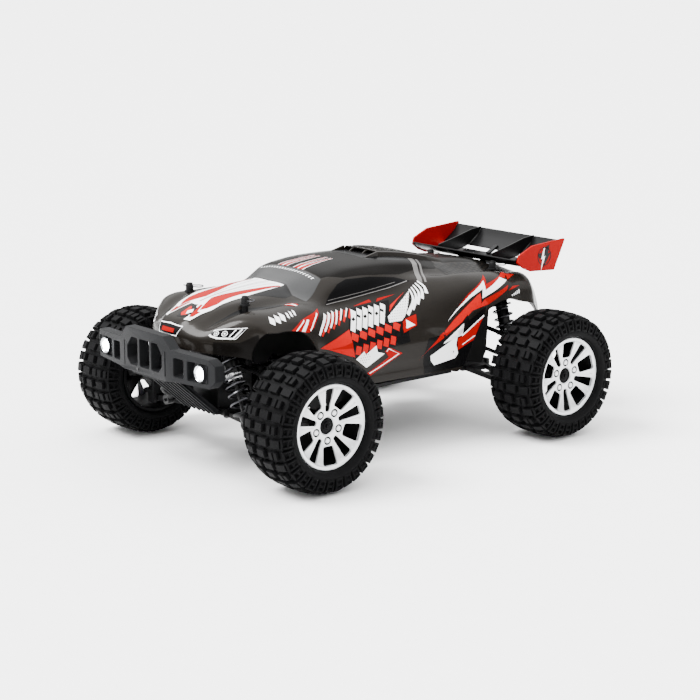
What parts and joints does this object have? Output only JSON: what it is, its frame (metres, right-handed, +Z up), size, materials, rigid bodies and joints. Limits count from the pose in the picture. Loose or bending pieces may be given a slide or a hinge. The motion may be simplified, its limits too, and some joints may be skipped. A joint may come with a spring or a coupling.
{
  "type": "remote control car",
  "caption": "Four-wheel-drive remote control truggy with working suspension, steering and geared drive, treaded tyres, a painted body shell and a rear wing.",
  "frame": {"origin": "on the ground under the middle of the whole car", "axes": "+Z up, -Y towards the nose, +X towards the car's left side"},
  "size_m": [0.323, 0.445, 0.1765],
  "materials": {
    "chassis_nylon": "moulded satin black",
    "shock_black": "black anodised",
    "steel": "polished steel",
    "spring_steel": "black coated steel",
    "rim_silver": "satin silver plating",
    "tyre_rubber": "matte rubber",
    "bumper_grey": "matte dark grey nylon",
    "lamp_lens": "clear white lens over an LED",
    "motor_silver": "satin zinc-coated steel",
    "gear_nylon": "oiled nylon",
    "brass": "turned brass",
    "battery_wrap": "shrink-wrapped pack",
    "electronics_case": "moulded case",
    "shell_paint": "gloss gunmetal paint with red and white decoration under clear plastic",
    "wing_black": "satin black",
    "wing_red": "gloss red"
  },
  "bodies": {
    "chassis": {"chassis_plate": "chassis_nylon", "front_gearbox": "chassis_nylon", "rear_gearbox": "chassis_nylon", "front_shock_tower": "chassis_nylon", "rear_shock_tower": "chassis_nylon", "motor": "motor_silver", "battery_pack": "battery_wrap", "speed_controller": "electronics_case", "steering_servo": "electronics_case", "front_bumper": "bumper_grey", "skid_plate": "bumper_grey", "bumper_lamp_left": "lamp_lens", "bumper_lamp_right": "lamp_lens", "body_shell": "shell_paint", "rear_wing": "wing_black", "wing_end_plate_left": "wing_red", "wing_end_plate_right": "wing_red"},
    "spur_gear": {"spur_gear": "gear_nylon"},
    "motor_pinion": {"motor_pinion": "brass"},
    "steering_link": {"steering_link": "chassis_nylon"},
    "front_left_lower_arm": {"front_left_lower_arm": "chassis_nylon"},
    "front_left_c_hub": {"front_left_c_hub": "chassis_nylon"},
    "front_left_upper_link": {"front_left_upper_link": "chassis_nylon"},
    "front_left_drive_shaft": {"front_left_drive_shaft": "steel"},
    "front_left_shock_body": {"front_left_shock_body": "shock_black", "front_left_shock_spring": "spring_steel"},
    "front_left_shock_rod": {"front_left_shock_rod": "steel"},
    "front_left_wheel": {"front_left_rim": "rim_silver", "front_left_tyre": "tyre_rubber"},
    "front_left_steering_knuckle": {"front_left_steering_knuckle": "chassis_nylon"},
    "tie_rod_left": {"tie_rod_left": "chassis_nylon"},
    "front_right_lower_arm": {"front_right_lower_arm": "chassis_nylon"},
    "front_right_c_hub": {"front_right_c_hub": "chassis_nylon"},
    "front_right_upper_link": {"front_right_upper_link": "chassis_nylon"},
    "front_right_drive_shaft": {"front_right_drive_shaft": "steel"},
    "front_right_shock_body": {"front_right_shock_body": "shock_black", "front_right_shock_spring": "spring_steel"},
    "front_right_shock_rod": {"front_right_shock_rod": "steel"},
    "front_right_wheel": {"front_right_rim": "rim_silver", "front_right_tyre": "tyre_rubber"},
    "front_right_steering_knuckle": {"front_right_steering_knuckle": "chassis_nylon"},
    "tie_rod_right": {"tie_rod_right": "chassis_nylon"},
    "rear_left_lower_arm": {"rear_left_lower_arm": "chassis_nylon"},
    "rear_left_hub_carrier": {"rear_left_hub_carrier": "chassis_nylon"},
    "rear_left_upper_link": {"rear_left_upper_link": "chassis_nylon"},
    "rear_left_drive_shaft": {"rear_left_drive_shaft": "steel"},
    "rear_left_shock_body": {"rear_left_shock_body": "shock_black", "rear_left_shock_spring": "spring_steel"},
    "rear_left_shock_rod": {"rear_left_shock_rod": "steel"},
    "rear_left_wheel": {"rear_left_rim": "rim_silver", "rear_left_tyre": "tyre_rubber"},
    "rear_right_lower_arm": {"rear_right_lower_arm": "chassis_nylon"},
    "rear_right_hub_carrier": {"rear_right_hub_carrier": "chassis_nylon"},
    "rear_right_upper_link": {"rear_right_upper_link": "chassis_nylon"},
    "rear_right_drive_shaft": {"rear_right_drive_shaft": "steel"},
    "rear_right_shock_body": {"rear_right_shock_body": "shock_black", "rear_right_shock_spring": "spring_steel"},
    "rear_right_shock_rod": {"rear_right_shock_rod": "steel"},
    "rear_right_wheel": {"rear_right_rim": "rim_silver", "rear_right_tyre": "tyre_rubber"}
  },
  "joints": [
    {"name": "steering_slide", "type": "slide", "parent": "chassis", "child": "steering_link", "axis": [1, 0, 0], "range_m": [-0.008, 0.008]},
    {"name": "front_left_suspension", "type": "hinge", "parent": "chassis", "child": "front_left_lower_arm", "pos_m": [0.024, -0.1401, 0.048], "axis": [0, -1, 0], "range_deg": [0, 11], "stiffness_Nm_per_rad": 2.5, "springref_deg": -20.05},
    {"name": "front_left_c_hub_pivot", "type": "hinge", "parent": "front_left_lower_arm", "child": "front_left_c_hub", "pos_m": [0.1, -0.1401, 0.038], "axis": [0, -1, 0], "range_deg": [-12, 0]},
    {"name": "front_left_upper_link_pivot", "type": "hinge", "parent": "chassis", "child": "front_left_upper_link", "pos_m": [0.026, -0.1401, 0.092], "axis": [0, -1, 0], "range_deg": [0, 12]},
    {"name": "front_left_drive_shaft_swing", "type": "hinge", "parent": "chassis", "child": "front_left_drive_shaft", "pos_m": [0.031, -0.1401, 0.07], "axis": [0, -1, 0], "range_deg": [0, 12]},
    {"name": "front_left_shock_pivot", "type": "hinge", "parent": "chassis", "child": "front_left_shock_body", "pos_m": [0.025, -0.1585, 0.126], "axis": [0, -1, 0], "range_deg": [0, 2.08]},
    {"name": "front_left_shock_stroke", "type": "slide", "parent": "front_left_shock_body", "child": "front_left_shock_rod", "axis": [0.4082, 0, -0.9129], "range_m": [-0.00712, 0], "deforming": ["front_left_shock_spring"]},
    {"name": "front_left_kingpin", "type": "hinge", "parent": "front_left_c_hub", "child": "front_left_steering_knuckle", "pos_m": [0.107, -0.1401, 0.06], "axis": [0, 0, 1], "range_deg": [-20, 20]},
    {"name": "tie_rod_left_swing", "type": "hinge", "parent": "steering_link", "child": "tie_rod_left", "pos_m": [0.024, -0.1161, 0.084], "axis": [0, -1, 0], "range_deg": [0, 12]},
    {"name": "front_left_wheel_spin", "type": "hinge", "parent": "front_left_steering_knuckle", "child": "front_left_wheel", "pos_m": [0.1325, -0.1401, 0.06], "axis": [1, 0, 0], "continuous": true},
    {"name": "front_right_suspension", "type": "hinge", "parent": "chassis", "child": "front_right_lower_arm", "pos_m": [-0.024, -0.1401, 0.048], "axis": [0, 1, 0], "range_deg": [0, 11], "stiffness_Nm_per_rad": 2.5, "springref_deg": -20.05},
    {"name": "front_right_c_hub_pivot", "type": "hinge", "parent": "front_right_lower_arm", "child": "front_right_c_hub", "pos_m": [-0.1, -0.1401, 0.038], "axis": [0, 1, 0], "range_deg": [-12, 0]},
    {"name": "front_right_upper_link_pivot", "type": "hinge", "parent": "chassis", "child": "front_right_upper_link", "pos_m": [-0.026, -0.1401, 0.092], "axis": [0, 1, 0], "range_deg": [0, 12]},
    {"name": "front_right_drive_shaft_swing", "type": "hinge", "parent": "chassis", "child": "front_right_drive_shaft", "pos_m": [-0.031, -0.1401, 0.07], "axis": [0, 1, 0], "range_deg": [0, 12]},
    {"name": "front_right_shock_pivot", "type": "hinge", "parent": "chassis", "child": "front_right_shock_body", "pos_m": [-0.025, -0.1585, 0.126], "axis": [0, 1, 0], "range_deg": [0, 2.08]},
    {"name": "front_right_shock_stroke", "type": "slide", "parent": "front_right_shock_body", "child": "front_right_shock_rod", "axis": [-0.4082, 0, -0.9129], "range_m": [-0.00712, 0], "deforming": ["front_right_shock_spring"]},
    {"name": "front_right_kingpin", "type": "hinge", "parent": "front_right_c_hub", "child": "front_right_steering_knuckle", "pos_m": [-0.107, -0.1401, 0.06], "axis": [0, 0, 1], "range_deg": [-20, 20]},
    {"name": "tie_rod_right_swing", "type": "hinge", "parent": "steering_link", "child": "tie_rod_right", "pos_m": [-0.024, -0.1161, 0.084], "axis": [0, 1, 0], "range_deg": [0, 12]},
    {"name": "front_right_wheel_spin", "type": "hinge", "parent": "front_right_steering_knuckle", "child": "front_right_wheel", "pos_m": [-0.1325, -0.1401, 0.06], "axis": [1, 0, 0], "continuous": true},
    {"name": "rear_left_suspension", "type": "hinge", "parent": "chassis", "child": "rear_left_lower_arm", "pos_m": [0.024, 0.1491, 0.048], "axis": [0, -1, 0], "range_deg": [0, 11], "stiffness_Nm_per_rad": 2.5, "springref_deg": -20.05},
    {"name": "rear_left_hub_carrier_pivot", "type": "hinge", "parent": "rear_left_lower_arm", "child": "rear_left_hub_carrier", "pos_m": [0.1, 0.1491, 0.038], "axis": [0, -1, 0], "range_deg": [-12, 0]},
    {"name": "rear_left_upper_link_pivot", "type": "hinge", "parent": "chassis", "child": "rear_left_upper_link", "pos_m": [0.026, 0.1491, 0.092], "axis": [0, -1, 0], "range_deg": [0, 12]},
    {"name": "rear_left_drive_shaft_swing", "type": "hinge", "parent": "chassis", "child": "rear_left_drive_shaft", "pos_m": [0.031, 0.1491, 0.07], "axis": [0, -1, 0], "range_deg": [0, 12]},
    {"name": "rear_left_shock_pivot", "type": "hinge", "parent": "chassis", "child": "rear_left_shock_body", "pos_m": [0.04, 0.1675, 0.126], "axis": [0, -1, 0], "range_deg": [0, 1.63]},
    {"name": "rear_left_shock_stroke", "type": "slide", "parent": "rear_left_shock_body", "child": "rear_left_shock_rod", "axis": [0.2844, 0, -0.9587], "range_m": [-0.00807, 0], "deforming": ["rear_left_shock_spring"]},
    {"name": "rear_left_wheel_spin", "type": "hinge", "parent": "rear_left_hub_carrier", "child": "rear_left_wheel", "pos_m": [0.1325, 0.1491, 0.06], "axis": [1, 0, 0], "continuous": true},
    {"name": "rear_right_suspension", "type": "hinge", "parent": "chassis", "child": "rear_right_lower_arm", "pos_m": [-0.024, 0.1491, 0.048], "axis": [0, 1, 0], "range_deg": [0, 11], "stiffness_Nm_per_rad": 2.5, "springref_deg": -20.05},
    {"name": "rear_right_hub_carrier_pivot", "type": "hinge", "parent": "rear_right_lower_arm", "child": "rear_right_hub_carrier", "pos_m": [-0.1, 0.1491, 0.038], "axis": [0, 1, 0], "range_deg": [-12, 0]},
    {"name": "rear_right_upper_link_pivot", "type": "hinge", "parent": "chassis", "child": "rear_right_upper_link", "pos_m": [-0.026, 0.1491, 0.092], "axis": [0, 1, 0], "range_deg": [0, 12]},
    {"name": "rear_right_drive_shaft_swing", "type": "hinge", "parent": "chassis", "child": "rear_right_drive_shaft", "pos_m": [-0.031, 0.1491, 0.07], "axis": [0, 1, 0], "range_deg": [0, 12]},
    {"name": "rear_right_shock_pivot", "type": "hinge", "parent": "chassis", "child": "rear_right_shock_body", "pos_m": [-0.04, 0.1675, 0.126], "axis": [0, 1, 0], "range_deg": [0, 1.63]},
    {"name": "rear_right_shock_stroke", "type": "slide", "parent": "rear_right_shock_body", "child": "rear_right_shock_rod", "axis": [-0.2844, 0, -0.9587], "range_m": [-0.00807, 0], "deforming": ["rear_right_shock_spring"]},
    {"name": "rear_right_wheel_spin", "type": "hinge", "parent": "rear_right_hub_carrier", "child": "rear_right_wheel", "pos_m": [-0.1325, 0.1491, 0.06], "axis": [1, 0, 0], "continuous": true},
    {"name": "spur_gear_spin", "type": "hinge", "parent": "chassis", "child": "spur_gear", "pos_m": [0, 0.0795, 0.07], "axis": [0, 1, 0], "continuous": true},
    {"name": "motor_pinion_spin", "type": "hinge", "parent": "chassis", "child": "motor_pinion", "pos_m": [-0.024, 0.0795, 0.07], "axis": [0, 1, 0], "continuous": true}
  ],
  "couplings": [
    {"joint": "front_left_c_hub_pivot", "follows": "front_left_suspension", "ratio": -1},
    {"joint": "front_left_upper_link_pivot", "follows": "front_left_suspension", "ratio": 1},
    {"joint": "front_left_drive_shaft_swing", "follows": "front_left_suspension", "ratio": 1},
    {"joint": "front_left_shock_pivot", "follows": "front_left_suspension", "ratio": 0.17326},
    {"joint": "front_left_shock_stroke", "follows": "front_left_suspension", "m_per_rad": -0.033984},
    {"joint": "front_left_kingpin", "follows": "steering_slide", "rad_per_m": -41.667},
    {"joint": "tie_rod_left_swing", "follows": "front_left_suspension", "ratio": 1},
    {"joint": "front_left_wheel_spin", "follows": "rear_left_wheel_spin", "ratio": 1},
    {"joint": "front_right_c_hub_pivot", "follows": "front_right_suspension", "ratio": -1},
    {"joint": "front_right_upper_link_pivot", "follows": "front_right_suspension", "ratio": 1},
    {"joint": "front_right_drive_shaft_swing", "follows": "front_right_suspension", "ratio": 1},
    {"joint": "front_right_shock_pivot", "follows": "front_right_suspension", "ratio": 0.17326},
    {"joint": "front_right_shock_stroke", "follows": "front_right_suspension", "m_per_rad": -0.033984},
    {"joint": "front_right_kingpin", "follows": "steering_slide", "rad_per_m": -41.667},
    {"joint": "tie_rod_right_swing", "follows": "front_right_suspension", "ratio": 1},
    {"joint": "front_right_wheel_spin", "follows": "rear_left_wheel_spin", "ratio": 1},
    {"joint": "rear_left_hub_carrier_pivot", "follows": "rear_left_suspension", "ratio": -1},
    {"joint": "rear_left_upper_link_pivot", "follows": "rear_left_suspension", "ratio": 1},
    {"joint": "rear_left_drive_shaft_swing", "follows": "rear_left_suspension", "ratio": 1},
    {"joint": "rear_left_shock_pivot", "follows": "rear_left_suspension", "ratio": 0.13612},
    {"joint": "rear_left_shock_stroke", "follows": "rear_left_suspension", "m_per_rad": -0.038511},
    {"joint": "rear_right_hub_carrier_pivot", "follows": "rear_right_suspension", "ratio": -1},
    {"joint": "rear_right_upper_link_pivot", "follows": "rear_right_suspension", "ratio": 1},
    {"joint": "rear_right_drive_shaft_swing", "follows": "rear_right_suspension", "ratio": 1},
    {"joint": "rear_right_shock_pivot", "follows": "rear_right_suspension", "ratio": 0.13612},
    {"joint": "rear_right_shock_stroke", "follows": "rear_right_suspension", "m_per_rad": -0.038511},
    {"joint": "rear_right_wheel_spin", "follows": "rear_left_wheel_spin", "ratio": 1},
    {"joint": "spur_gear_spin", "follows": "rear_left_wheel_spin", "ratio": 3},
    {"joint": "motor_pinion_spin", "follows": "rear_left_wheel_spin", "ratio": -9}
  ]
}
